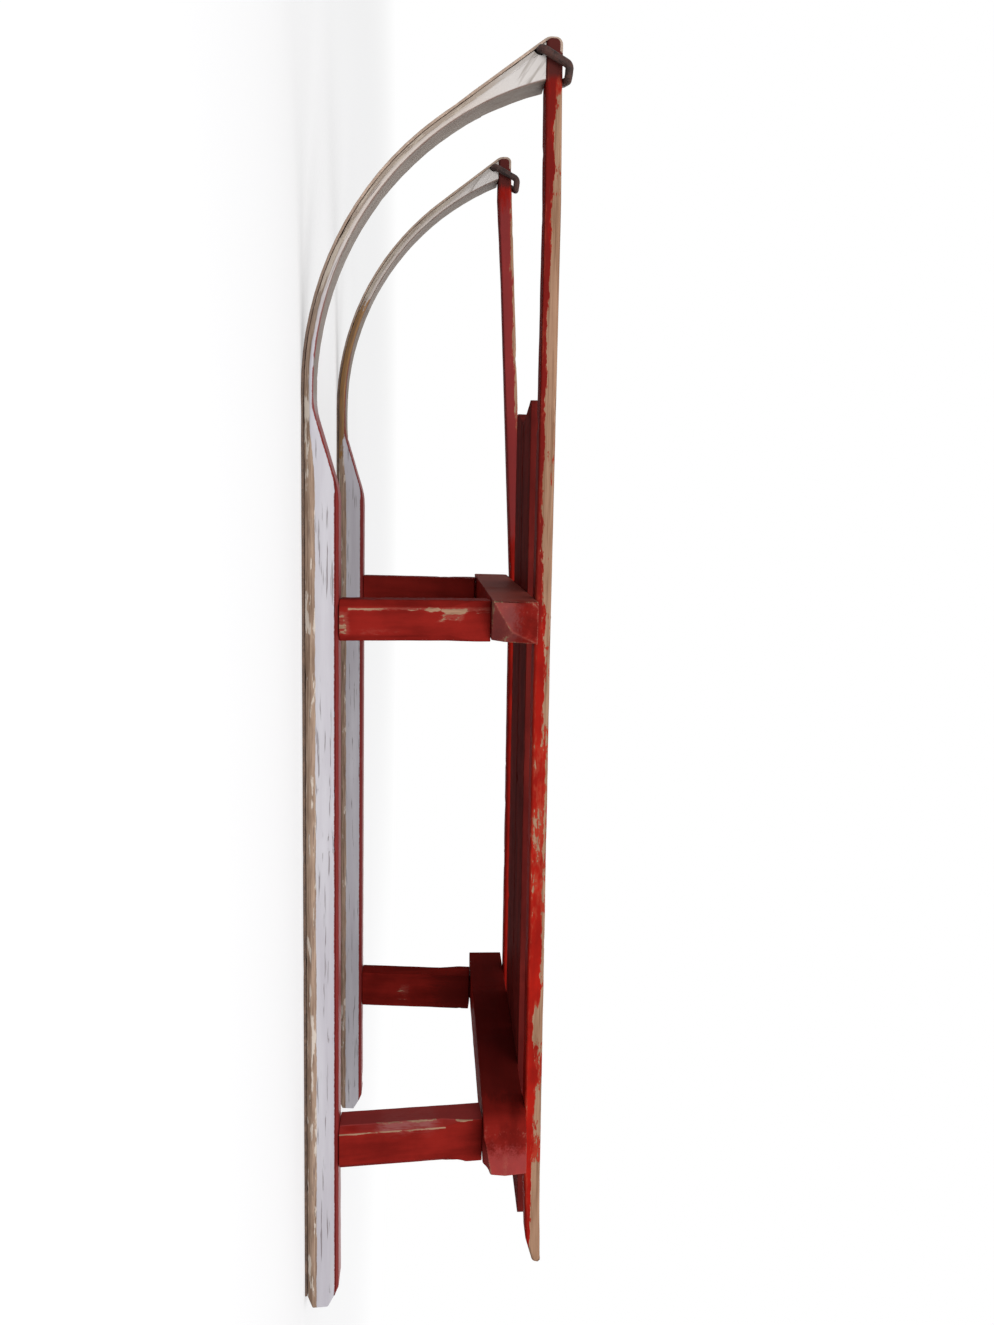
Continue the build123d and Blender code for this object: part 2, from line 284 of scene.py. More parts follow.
class Pattern(NamedTuple):
    """A noise laid along the grain: its scales, its octaves and its own shift."""

    along: float
    across: float
    detail: float = 3.0
    rough: float = 0.6
    shift: float = 0.0


@dataclass(frozen=True)
class Grain:
    """Where a point lies: from the tail, along and across its wood, and how far from an arris."""

    x: Sock
    y: Sock
    z: Sock
    along: Sock
    across: Sock
    through: Sock
    edge: Sock

    def clouds(self, graph: Graph, pattern: Pattern, seed: float) -> Sock:
        """A pattern's noise at this point, mostly from -1 to 1."""
        start = seed + pattern.shift
        stretched = graph.vector(
            self.along * pattern.along + start, self.across * pattern.across + start * 0.37,
            self.through * pattern.across,
        )
        return graph.clouds(stretched, 1.0, pattern.detail, pattern.rough)


@dataclass(frozen=True)
class Noises:
    """The noises of one material, by name."""

    made: dict[str, Sock]

    @staticmethod
    def on(graph: Graph, grain: Grain, patterns: dict[str, Pattern], seed: float) -> "Noises":
        """Lay each pattern along a piece's grain."""
        return Noises({name: grain.clouds(graph, pattern, seed) for name, pattern in patterns.items()})

    def __getitem__(self, name: str) -> Sock:
        """One noise."""
        return self.made[name]

    def total(self, **shares: float) -> Sock:
        """Add up noises, each with its own share."""
        parts = [self.made[name] * share for name, share in shares.items()]
        return sum(parts[1:], parts[0])


class Along(Enum):
    """The axis that the grain of a piece follows."""

    X = 0
    Y = 1
    Z = 2

    @staticmethod
    def of(name: str) -> "Along":
        """The axis for a node, by what kind of piece it is."""
        kinds = {"post": Along.Z, "crossbeam": Along.Y}
        return kinds.get(name.split("_")[0], Along.X)


def merged(name: str) -> bmesh.types.BMesh:
    """Copy a node's mesh, with its loose triangles joined and its flat faces whole.

    Args:
        name: The node.

    Returns:
        The new mesh, which the caller frees.
    """
    whole = bmesh.new()
    whole.from_mesh(bpy.data.objects[name].data)
    bmesh.ops.remove_doubles(whole, verts=whole.verts[:], dist=WELD)
    bmesh.ops.dissolve_limit(
        whole, angle_limit=FLAT_UNDER, use_dissolve_boundaries=False,
        verts=whole.verts[:], edges=whole.edges[:], delimit=set(),
    )
    return whole


@dataclass(frozen=True)
class Hewn:
    """A straight piece. The flats of its hull tell how far a point is from an arris."""

    name: str
    tail: float
    most_flats: int = 14
    hull_slack: float = 0.0006

    def flats(self) -> list[tuple[Vector, float]]:
        """The largest flat faces with nothing in front of them, as a normal and a distance."""
        whole = merged(self.name)
        found = []
        for face in sorted(whole.faces, key=lambda face: -face.calc_area()):
            reach = face.normal.dot(face.calc_center_median())
            ahead = max(face.normal.dot(vertex.co) for vertex in whole.verts) - reach
            if ahead < self.hull_slack and len(found) < self.most_flats:
                found.append((face.normal.copy(), reach))
        whole.free()
        return found

    def grain(self, graph: Graph) -> Grain:
        """Work out the grain's directions and the distance to the nearest arris.

        Args:
            graph: The material's nodes.

        Returns:
            The piece's own directions.
        """
        place = graph.place()
        near, edge = graph.number(1.0), graph.number(1.0)
        for normal, reach in self.flats():
            away = reach - graph.dot(place, normal)
            edge = edge.at_most(near.at_least(away))
            near = near.at_most(away)
        x, y, z = graph.split(place)
        x = x - self.tail
        axis = Along.of(self.name).value
        order = [(x, y, z)[(axis + step) % 3] for step in range(3)]
        return Grain(x, y, z, *order, edge)


@dataclass(frozen=True)
class Bent:
    """A runner: straight, then a bend and a slope, with both sides leaning inwards."""

    side: Side
    tail: float
    taper_start: float = 0.772
    taper_end: float = 0.842
    top: float = 0.032
    bend_thick: float = 0.011
    bend: Limits = (0.83, 0.86)
    rise: Limits = (0.86, 1.02)
    tip: Limits = (1.13, 1.19)

    def grain(self, graph: Graph) -> Grain:
        """Follow the bend, so that the grain does too.

        Args:
            graph: The material's nodes.

        Returns:
            The piece's own directions. Across is the distance from the outer side, through is the depth
            over the iron's face, and edge is the depth under the upper, hollow side.
        """
        place = graph.place()
        x, y, z = graph.split(place)
        x = x - self.tail
        rake = self.side.rake
        ahead = x - self.side.bend_start
        below = BEND_RADIUS - z
        radius = graph.math("SQRT", ahead * ahead + below * below)
        angle = graph.math("ARCTAN2", ahead, below)
        foot_x = self.side.bend_start + BEND_RADIUS * math.sin(rake)
        foot_z = BEND_RADIUS * (1 - math.cos(rake))
        slope_along = (x - foot_x) * math.cos(rake) + (z - foot_z) * math.sin(rake)
        slope_depth = (z - foot_z) * math.cos(rake) - (x - foot_x) * math.sin(rake)
        bent = ahead > 0.0
        raked = (angle > rake) * bent
        bend_along = angle.at_most(rake) * BEND_RADIUS + self.side.bend_start
        along = x + bent * (bend_along - x) + raked * slope_along.at_least(0.0)
        depth = z + bent * ((BEND_RADIUS - radius) - z)
        depth = depth + raked * (slope_depth - depth)
        lost = self.top - self.bend_thick
        thinned = (x - self.taper_start) * (lost / (self.taper_end - self.taper_start))
        over = self.top - thinned.at_least(0.0).at_most(lost) - z
        over = over + bent * ((radius - (BEND_RADIUS - self.bend_thick)) - over)
        outer = TRACK / 2 - z * math.tan(LEAN) - y * float(self.side.sign)
        return Grain(x, y, z, along, outer, depth, over)


class Patch(NamedTuple):
    """A place on a piece, with X from the tail, where the paint has worn off, has another colour, or carries
    painted shade or a painted highlight.

    Soft is half the width of its border, and ends is that of its border across X. Bare adds to the wear.
    The tint covers its share of the paint.
    """

    x: Optional[Limits] = None
    y: Optional[Limits] = None
    z: Optional[Limits] = None
    soft: float = 0.004
    ends: Optional[float] = None
    bare: float = 0.0
    tint: Optional[Colour] = None
    share: float = 0.8
    faces: Optional[Direction] = None

    def mask(self, graph: Graph, grain: Grain, wander: Sock) -> Sock:
        """1 inside the place and 0 outside, with a ragged border.

        Args:
            graph: The material's nodes.
            grain: The point on the piece.
            wander: Noise that moves the border.

        Returns:
            The mask.
        """
        inside = graph.number(1.0)
        ends = self.soft if self.ends is None else self.ends
        spans = ((grain.x, self.x, ends), (grain.y, self.y, self.soft), (grain.z, self.z, self.soft))
        for value, span, soft in spans:
            if span is not None:
                away = abs(value + wander * (soft * 1.2) - (span[0] + span[1]) / 2)
                half = (span[1] - span[0]) / 2
                inside = inside * (1.0 - graph.ramp(away, half - soft, half + soft))
        if self.faces is not None:
            inside = inside * graph.facing(self.faces)
        return inside


@dataclass(frozen=True)
class Wood:
    """The bare wood under the paint."""

    pale: Colour
    dark: Colour

    def colour(self, graph: Graph, fibre: Sock, drift: Sock) -> Sock:
        """Fine fibres over slow changes along the board."""
        return graph.mix(graph.ramp(fibre + drift * 0.5, -0.9, 0.7), self.dark, self.pale)


RED_PATTERNS = {
    "fibre": Pattern(along=16.0, across=620.0, detail=4.0),
    "drift": Pattern(along=6.0, across=60.0, detail=4.0),
    "flake": Pattern(along=45.0, across=150.0, detail=5.0, rough=0.62),
    "speck": Pattern(along=380.0, across=700.0),
    "ragged": Pattern(along=28.0, across=28.0),
    "splinter": Pattern(along=120.0, across=640.0, shift=2.0),
}


@dataclass(frozen=True)
class RedPaint:
    """Old red paint: gone along the arrises and in patches, cracked along the grain, chalky where thin."""

    paint: Colour
    deep: Colour
    thin: Colour
    wood: Wood
    edge_pull: float
    edge_wide: float = 0.0022
    edge_stray: float = 0.0006
    wear_at: float = 0.62
    wear_soft: float = 0.05
    chalk_wide: float = 0.26
    chalk: float = 0.42
    shade_at: Limits = (-1.0, 1.1)
    speck_at: Limits = (0.85, 1.3)
    speckle: float = 0.3
    crack_at: Limits = (1.0, 1.25)
    crack: float = 0.35
    gloss: float = 0.46
    shine: float = 0.001
    bump: float = 0.6
    bump_deep: float = 0.0005

    def dress(self, name: str, shape: Hewn, patches: Sequence[Patch], seed: float) -> bpy.types.Material:
        """Make the material for one piece.

        Args:
            name: The material's name.
            shape: Gives the piece's own directions.
            patches: Worn or tinted places on this piece.
            seed: Moves the patterns, so that no two pieces match.

        Returns:
            The finished material.
        """
        material, graph = new_material(name)
        grain = shape.grain(graph)
        noises = Noises.on(graph, grain, RED_PATTERNS, seed)
        fibre, drift, flake, speck = (noises[key] for key in ("fibre", "drift", "flake", "speck"))
        at_edge = 1.0 - graph.ramp(grain.edge + flake * self.edge_stray, 0.0, self.edge_wide)
        worn = noises.total(flake=0.2, drift=0.12, speck=0.05, ragged=0.11, splinter=0.14)
        wear = at_edge * self.edge_pull + worn
        shade = graph.ramp(noises.total(drift=1.0, ragged=0.6), *self.shade_at)
        paint = graph.mix(shade, self.deep, self.paint)
        wander = noises.total(ragged=0.45, flake=0.55, splinter=0.5)
        for patch in patches:
            mask = patch.mask(graph, grain, wander)
            # A tint is the paint's own colour on some patches and painted shade or a painted highlight on others.
            if patch.tint is not None:
                paint = graph.mix(mask * patch.share, paint, patch.tint)
            if patch.bare:
                wear = wear + mask * patch.bare
        bare = graph.ramp(wear, self.wear_at, self.wear_at + self.wear_soft)
        chalky = graph.ramp(wear, self.wear_at - self.chalk_wide, self.wear_at)
        cracks = graph.ramp(fibre, *self.crack_at) * self.crack
        paint = graph.mix(chalky * self.chalk, paint, self.thin)
        paint = graph.mix(graph.ramp(speck, *self.speck_at) * self.speckle, paint, self.thin)
        colour = graph.mix(bare, paint, self.wood.colour(graph, fibre, drift))
        colour = graph.mix(cracks, colour, self.wood.dark)
        height = (1.0 - bare) * 0.55 + fibre * 0.06 * (0.4 + bare) - cracks * 0.5
        height = height + noises.total(drift=0.12, speck=0.03)
        graph.surface(height, self.bump, self.bump_deep, {
            "Base Color": colour, "Roughness": self.gloss + bare * 0.3 + chalky * 0.14 + speck * 0.05,
            "Specular IOR Level": self.shine,
        })
        return material


RUNNER_PATTERNS = {
    "fibre": Pattern(along=22.0, across=540.0, rough=0.5),
    "drift": Pattern(along=5.0, across=70.0, detail=4.0),
    "flake": Pattern(along=55.0, across=130.0, detail=5.0, rough=0.64),
    "speck": Pattern(along=420.0, across=700.0),
    "chips": Pattern(along=24.0, across=190.0, detail=4.0, shift=5.0),
}


@dataclass(frozen=True)
class RunnerNodes:
    """What all the parts of one runner's paint need: its nodes, directions, noises and stretches."""

    graph: Graph
    shape: Bent
    grain: Grain
    noises: Noises
    brush: Sock
    thinner: Sock
    bent: Sock
    high: Sock
    tip: Sock

    @staticmethod
    def on(graph: Graph, shape: Bent, seed: float) -> "RunnerNodes":
        """Make the nodes that the parts share.

        Args:
            graph: The material's nodes.
            shape: Gives the runner's own directions.
            seed: Moves the patterns.

        Returns:
            The shared nodes. Thinner, bent, high and tip go from 0 to 1 along the taper, where the bend
            starts, up the bend and at the tip.
        """
        grain = shape.grain(graph)
        noises = Noises.on(graph, grain, RUNNER_PATTERNS, seed)
        # Brush strokes 31 degrees up from X: close together across them, slow along them.
        streaked = graph.vector(
            grain.x * 120.0 - grain.z * 196.0, grain.y * 40.0 + seed, grain.x * 17.0 + grain.z * 10.0,
        )
        return RunnerNodes(
            graph=graph, shape=shape, grain=grain, noises=noises, brush=graph.clouds(streaked, 1.0, 2.0, 0.55),
            thinner=graph.ramp(grain.x, shape.taper_start, shape.taper_end),
            bent=graph.ramp(grain.x, *shape.bend),
            high=graph.ramp(grain.x, *shape.rise),
            tip=graph.ramp(grain.along, *shape.tip),
        )


@dataclass(frozen=True)
class RunnerPaint:
    """White sides with a worn brown strip along the iron, a red top and a hollow side painted grey-brown, for dirt
    and for painted shade.
    """

    white: Colour
    shade: Colour
    red: Colour
    # Dirt with painted shade, for the hollow side in the bend.
    dirt_and_shade: Colour
    crack_dark: Colour
    cream: Colour
    strip: Wood
    golden: Colour
    # Grey for the hollow side, dirt with painted shade, and for the brush streaks near the tip.
    hollow: Colour
    # Painted light: a brighter white for the tip.
    painted_tip_light: Colour
    faded: Colour
    strip_high: float = 0.0121
    strip_thinner: float = 0.0046
    strip_soft: float = 0.0007
    strip_gone: Limits = (0.28, 0.48)
    nick_at: Limits = (1.0, 1.2)
    crack_at: Limits = (0.44, 0.72)
    golden_at: Limits = (0.45, 0.6)
    top_deep: Limits = (0.0012, 0.0007)
    chamfer_deep: Limits = (0.0043, 0.0038)
    chamfer_lost: float = 0.0024
    line_wide: Limits = (0.0017, 0.0012)
    line_fades: Limits = (0.88, 0.96)
    sole_deep: Limits = (0.0034, 0.0029)
    gloss: float = 0.5
    shine: float = 0.16
    bump: float = 0.6
    bump_deep: float = 0.0006

    def dress(self, name: str, shape: Bent, patches: Sequence[Patch], seed: float) -> bpy.types.Material:
        """Make the material for one runner.

        Args:
            name: The material's name.
            shape: Gives the runner's own directions.
            patches: Worn places on this runner.
            seed: Moves the patterns, so that the two don't match.

        Returns:
            The finished material.
        """
        material, graph = new_material(name)
        on = RunnerNodes.on(graph, shape, seed)
        noises, speck = on.noises, on.noises["speck"]
        cracks = graph.ramp(noises.total(fibre=1.0, flake=-0.12, drift=0.15), *self.crack_at)
        cracks = cracks * (1.0 - on.tip * 0.8)
        strip, bare = self.strip_along(on)
        golden = self.golden_places(on, patches)
        bare = bare.at_least(golden)
        colour = graph.mix(strip * 0.8, self.white_side(on), self.cream)
        colour = graph.mix(bare, colour, self.bare_wood(on, golden))
        top, line = self.red_places(on)
        spotted = graph.ramp(noises.total(flake=1.0, speck=0.4), *self.nick_at) * 0.8
        red = graph.mix(spotted, self.red, self.cream)
        colour = graph.mix(top, colour, red)
        # Painted shade with dirt: the hollow upper side in the bend turns grey-brown, darker than the white sides.
        dirt_and_shade = graph.mix(graph.ramp(noises.total(drift=1.0, flake=0.5), -1.0, 1.0), self.dirt_and_shade, self.hollow)
        colour = graph.mix(self.face_up(on) * on.bent, colour, dirt_and_shade)
        colour = graph.mix(line * 0.85, colour, red)
        colour = graph.mix(cracks * 0.6 * (1.0 - top), colour, self.crack_dark)
        sole = graph.ramp(on.grain.through + speck * 0.0002, *self.sole_deep)
        colour = graph.mix(sole, colour, graph.mix(on.high, self.strip.dark, self.strip.pale))
        height = (1.0 - bare) * 0.5 - cracks * 0.7 + on.brush * on.tip * 0.2
        height = height + noises.total(fibre=0.08, drift=0.15)
        graph.surface(height, self.bump, self.bump_deep, {
            "Base Color": colour, "Roughness": self.gloss + bare * 0.25 + speck * 0.05,
            "Specular IOR Level": self.shine,
        })
        return material

    def white_side(self, on: RunnerNodes) -> Sock:
        """The white paint: creamy up the bend, brightened near the tip as painted light, and streaked there."""
        graph = on.graph
        colour = graph.mix(graph.ramp(on.noises["drift"], -1.1, 1.1), self.shade, self.white)
        colour = graph.mix(on.high * 0.6, colour, self.cream)
        # Painted light: the white is brightened towards the tip.
        colour = graph.mix(on.tip * 0.7, colour, self.painted_tip_light)
        return graph.mix(on.tip * graph.ramp(on.brush, 0.0, 0.9) * 0.75, colour, self.hollow)

    def bare_wood(self, on: RunnerNodes, golden: Sock) -> Sock:
        """The wood of the strip: faded up the bend, and golden where that mask is 1."""
        graph, noises = on.graph, on.noises
        fibre = noises["fibre"]
        wood = self.strip.colour(graph, fibre, noises.total(drift=1.0, flake=0.6))
        wood = graph.mix(on.high * 0.75, wood, self.faded)
        return graph.mix(golden, wood, graph.mix(graph.ramp(fibre, -1.0, 0.8), self.strip.dark, self.golden))

    def strip_along(self, on: RunnerNodes) -> tuple[Sock, Sock]:
        """Masks of the strip along the iron, and of the bare wood there and in nicks elsewhere."""
        graph, noises = on.graph, on.noises
        top = self.strip_high - on.thinner * self.strip_thinner + noises.total(flake=0.0007, drift=0.0004)
        strip = graph.ramp(top - on.grain.through, 0.0, self.strip_soft) * (1.0 - on.tip * 0.75)
        flakes = noises.total(chips=1.0, flake=0.35) + on.thinner * 0.2 + on.high * 0.35
        nicks = graph.ramp(noises.total(flake=0.8, speck=0.5, drift=0.3), *self.nick_at)
        return strip, (strip * (1.0 - graph.ramp(flakes, *self.strip_gone))).at_least(nicks)

    def golden_places(self, on: RunnerNodes, patches: Sequence[Patch]) -> Sock:
        """Mask of the places where the whole side is bare, golden wood."""
        inside = on.graph.number(0.0)
        for patch in patches:
            inside = inside.at_least(patch.mask(on.graph, on.grain, on.noises["flake"]) * patch.bare)
        return on.graph.ramp(inside + on.noises.total(flake=0.25, drift=0.15), *self.golden_at)

    def red_places(self, on: RunnerNodes) -> tuple[Sock, Sock]:
        """Masks of the red top with its chamfers, and of the thin line that goes on up the bend."""
        graph, grain, start = on.graph, on.grain, on.shape.taper_start
        stray = on.noises.total(flake=0.0002, speck=0.0003)
        narrow = graph.ramp(grain.x, start - 0.006, start + 0.012) * self.chamfer_lost
        chamfers = graph.ramp(grain.edge + stray + narrow, *self.chamfer_deep)
        top = chamfers.at_least(self.face_up(on)) * (1.0 - on.bent)
        rim = grain.across.at_most(RUNNER_WIDE - grain.across)
        line = graph.ramp(grain.edge + rim + stray, *self.line_wide) * on.thinner
        return top, line * (1.0 - graph.ramp(grain.x, *self.line_fades) * 0.8)

    def face_up(self, on: RunnerNodes) -> Sock:
        """Mask of the upper side alone."""
        return on.graph.ramp(on.grain.edge, *self.top_deep)


@dataclass(frozen=True)
class OldIron:
    """Dark iron with brown rust. Its flanks can be rubbed pale up the bend."""

    dark: Colour
    rust: Colour
    dust: Colour
    rubbed: float = 0.0
    rubbed_along: Limits = (0.88, 1.04)
    bump: float = 0.5
    bump_deep: float = 0.0005

    def dress(self, name: str, tail: float) -> bpy.types.Material:
        """Make the material.

        Args:
            name: The material's name.
            tail: Where the runners' tails are.

        Returns:
            The finished material.
        """
        material, graph = new_material(name)
        place = graph.place()
        cloud = graph.clouds(place, 70.0, 6.0, 0.65)
        scale = graph.clouds(place, 420.0, 4.0, 0.65)
        pits = graph.clouds(place, 1500.0, 2.0, 0.6)
        rusty = graph.ramp(cloud + scale * 0.5, -0.5, 0.9)
        colour = graph.mix(rusty, self.dark, self.rust)
        colour = graph.mix(graph.ramp(scale + pits * 0.4, 0.7, 1.3) * 0.5, colour, self.dust)
        ahead = graph.split(place)[0] - tail
        flank = graph.facing(LEFTWARDS).at_least(graph.facing(RIGHTWARDS))
        colour = graph.mix(graph.ramp(ahead, *self.rubbed_along) * flank * self.rubbed, colour, self.dust)
        graph.surface(scale * 0.5 + pits * 0.25 + cloud * 0.4, self.bump, self.bump_deep, {
            "Base Color": colour, "Roughness": 0.5 + rusty * 0.32, "Metallic": 0.65 - rusty * 0.6,
        })
        return material


OLD_WOOD = Wood(pale=srgb(172, 135, 110), dark=srgb(134, 98, 76))
GREY_WOOD = Wood(pale=srgb(180, 153, 133), dark=srgb(130, 105, 88))
FRAME_RED = RedPaint(
    paint=srgb(143, 35, 29), deep=srgb(106, 24, 20), thin=srgb(164, 88, 76), wood=OLD_WOOD, edge_pull=0.30,
)
RAIL_RED = RedPaint(
    paint=srgb(178, 34, 24), deep=srgb(132, 26, 21), thin=srgb(178, 84, 62), wood=OLD_WOOD, edge_pull=0.46,
    edge_wide=0.0028,
)
SEAT_RED = RedPaint(
    paint=srgb(128, 42, 37), deep=srgb(94, 30, 28), thin=srgb(140, 76, 66), wood=OLD_WOOD, edge_pull=0.28,
    gloss=0.6,
)
RUNNER_WHITE = RunnerPaint(
    white=srgb(205, 202, 208), shade=srgb(185, 180, 188), red=srgb(120, 34, 31), dirt_and_shade=srgb(122, 106, 96),
    crack_dark=srgb(92, 76, 72), cream=srgb(214, 198, 180), strip=GREY_WOOD,
    golden=srgb(176, 130, 78), hollow=srgb(144, 134, 125), painted_tip_light=srgb(214, 210, 208),
    faded=srgb(198, 182, 168),
)
IRON = OldIron(dark=srgb(44, 32, 30), rust=srgb(82, 48, 40), dust=srgb(112, 78, 66))
SOLE_IRON = OldIron(dark=srgb(82, 66, 57), rust=srgb(124, 98, 82), dust=srgb(176, 154, 138), rubbed=0.8)
DUST = srgb(80, 42, 39)
# Painted shade: a dark red for faces that stand in shade.
PAINTED_SHADE_DARK_RED = srgb(82, 28, 24)
# Painted shade: a dark red for faces turned away from the light.
PAINTED_SHADE_RED = srgb(90, 25, 22)
SCUFF = srgb(150, 98, 96)
# Painted highlight: a pink sheen on red paint.
PINK_HIGHLIGHT = srgb(136, 60, 60)
# A pale pink for paint bloom and for a painted highlight.
BLOOM_AND_HIGHLIGHT = srgb(186, 84, 82)
# Painted shade: a darker red for the shaded lower half of a rail.
SHADED_RAIL_RED = srgb(116, 31, 27)
# Painted sheen: a greyed red for faces that catch a sheen.
GREY_SHEEN_RED = srgb(148, 76, 66)
SEAT_WEAR = [
    Patch(x=(0.120, 0.760), soft=0.02, ends=0.09, bare=0.13, faces=UPWARDS),
    Patch(x=(0.852, 0.880), soft=0.004, ends=0.004, bare=0.22),
]

PATCHES: dict[str, list[Patch]] = {
    "rail_left": [
        Patch(x=(0.930, 1.118), z=(0.2112, 0.25), soft=0.0015, ends=0.03, bare=0.85),
        Patch(x=(0.730, 0.960), z=(0.2096, 0.25), soft=0.0015, ends=0.03, bare=0.85),
        Patch(x=(0.660, 0.750), z=(0.2112, 0.25), soft=0.0020, ends=0.02, bare=0.80),
        Patch(x=(0.560, 0.690), z=(0.2150, 0.25), soft=0.0020, ends=0.02, bare=0.75),
        Patch(x=(0.340, 0.560), z=(0.2185, 0.25), soft=0.0015, ends=0.03, bare=0.66),
        Patch(x=(0.420, 0.500), z=(0.2110, 0.2185), soft=0.002, ends=0.02, bare=0.12),
        Patch(x=(0.360, 0.570), z=(0.2100, 0.2185), soft=0.002, ends=0.03, bare=0.42),
        Patch(x=(0.280, 0.370), z=(0.2200, 0.25), soft=0.0015, ends=0.02, bare=0.70),
        Patch(x=(0.255, 0.300), z=(0.2130, 0.25), soft=0.0020, ends=0.012, bare=0.75),
        Patch(x=(0.170, 0.265), z=(0.2175, 0.25), soft=0.0025, ends=0.02, bare=0.62),
        Patch(x=(0.105, 0.190), z=(0.2155, 0.25), soft=0.0020, ends=0.02, bare=0.58),
        Patch(x=(-0.10, 0.120), z=(0.2160, 0.25), soft=0.0012, ends=0.02, bare=1.05),
        # Painted shade: the rail's lower half towards the tip is painted darker.
        Patch(x=(0.640, 1.118), z=(0.190, 0.2116), soft=0.003, ends=0.03, tint=SHADED_RAIL_RED, share=0.85),
        Patch(x=(1.118, 1.200), tint=DUST, share=0.9),
    ],
    "rail_right": [
        Patch(x=(0.860, 0.950), z=(0.2055, 0.25), soft=0.002, ends=0.02, bare=0.55),
        Patch(x=(0.940, 1.040), z=(0.2010, 0.25), soft=0.002, ends=0.02, bare=0.50),
        Patch(x=(1.030, 1.118), z=(0.1970, 0.25), soft=0.002, ends=0.02, bare=0.50),
        # Painted highlight: the front part of the far rail is tinted pink.
        Patch(x=(0.730, 1.100), soft=0.02, ends=0.02, tint=PINK_HIGHLIGHT, share=0.75),
        Patch(x=(1.118, 1.200), tint=DUST, share=0.9),
    ],
    "slat_left": SEAT_WEAR,
    "slat_right": SEAT_WEAR,
    "post_front_left": [
        Patch(x=(0.6692, 0.6722), z=(0.040, 0.120), soft=0.0014, bare=0.62, faces=LEFTWARDS),
        Patch(x=(0.6676, 0.6732), z=(0.110, 0.166), soft=0.0022, bare=0.58, faces=LEFTWARDS),
        Patch(x=(0.6615, 0.6690), z=(0.122, 0.144), soft=0.0035, bare=0.50, faces=LEFTWARDS),
        Patch(x=(0.6480, 0.6700), z=(0.026, 0.042), soft=0.005, bare=0.58, faces=LEFTWARDS),
        Patch(x=(0.6440, 0.6600), z=(0.045, 0.100), soft=0.010, bare=0.32, faces=LEFTWARDS),
        Patch(x=(0.6440, 0.6640), z=(0.170, 0.200), soft=0.006, bare=0.22, faces=LEFTWARDS),
    ],
    "post_rear_left": [
        Patch(x=(0.1808, 0.1900), z=(0.066, 0.124), soft=0.0009, bare=0.70, faces=BEVELWARDS),
        Patch(x=(0.1808, 0.1900), z=(0.141, 0.158), soft=0.0009, bare=0.70, faces=BEVELWARDS),
        Patch(x=(0.1752, 0.1774), z=(0.030, 0.133), soft=0.0008, bare=0.66, faces=LEFTWARDS),
        Patch(x=(0.1766, 0.1840), z=(0.070, 0.122), soft=0.007, tint=SCUFF, share=0.9, faces=BEVELWARDS),
        Patch(x=(0.1380, 0.1412), z=(0.034, 0.150), soft=0.0008, bare=0.58),
        # Painted highlight: the post's front face is tinted pale pink.
        Patch(faces=FORWARDS, tint=BLOOM_AND_HIGHLIGHT, share=0.4),
    ],
    "crossbeam_front": [
        Patch(y=(0.182, 0.230), soft=0.005, bare=0.33),
        Patch(y=(0.176, 0.230), z=(0.160, 0.186), soft=0.006, tint=SCUFF, share=0.35),
        # Painted sheen: the front face is tinted a paler grey-red.
        Patch(y=(-0.30, 0.188), soft=0.006, faces=FORWARDS, tint=GREY_SHEEN_RED, share=0.8),
    ],
    "crossbeam_rear": [
        Patch(y=(0.180, 0.230), x=(0.130, 0.166), soft=0.008, tint=BLOOM_AND_HIGHLIGHT, share=0.45),
        Patch(y=(0.197, 0.230), soft=0.003, bare=0.26),
        # Painted shade: the rear crossbeam's front face is painted darker.
        Patch(y=(-0.30, 0.150), soft=0.020, faces=FORWARDS, tint=PAINTED_SHADE_RED, share=0.7),
    ],
    "post_rear_right": [
        Patch(x=(0.150, 0.170), z=(0.078, 0.092), soft=0.004, bare=0.5, faces=LEFTWARDS),
        # Painted shade: the upper part of this far post's left faces is painted darker.
        Patch(z=(0.120, 0.200), soft=0.020, faces=LEFTWARDS, tint=PAINTED_SHADE_RED, share=0.7),
    ],
    # Painted shade: the left faces of this far post are painted a little darker.
    "post_front_right": [Patch(faces=LEFTWARDS, tint=PAINTED_SHADE_DARK_RED, share=0.25)],
    "runner_right": [Patch(x=(0.835, 0.985), ends=0.020, bare=1.0)],
}


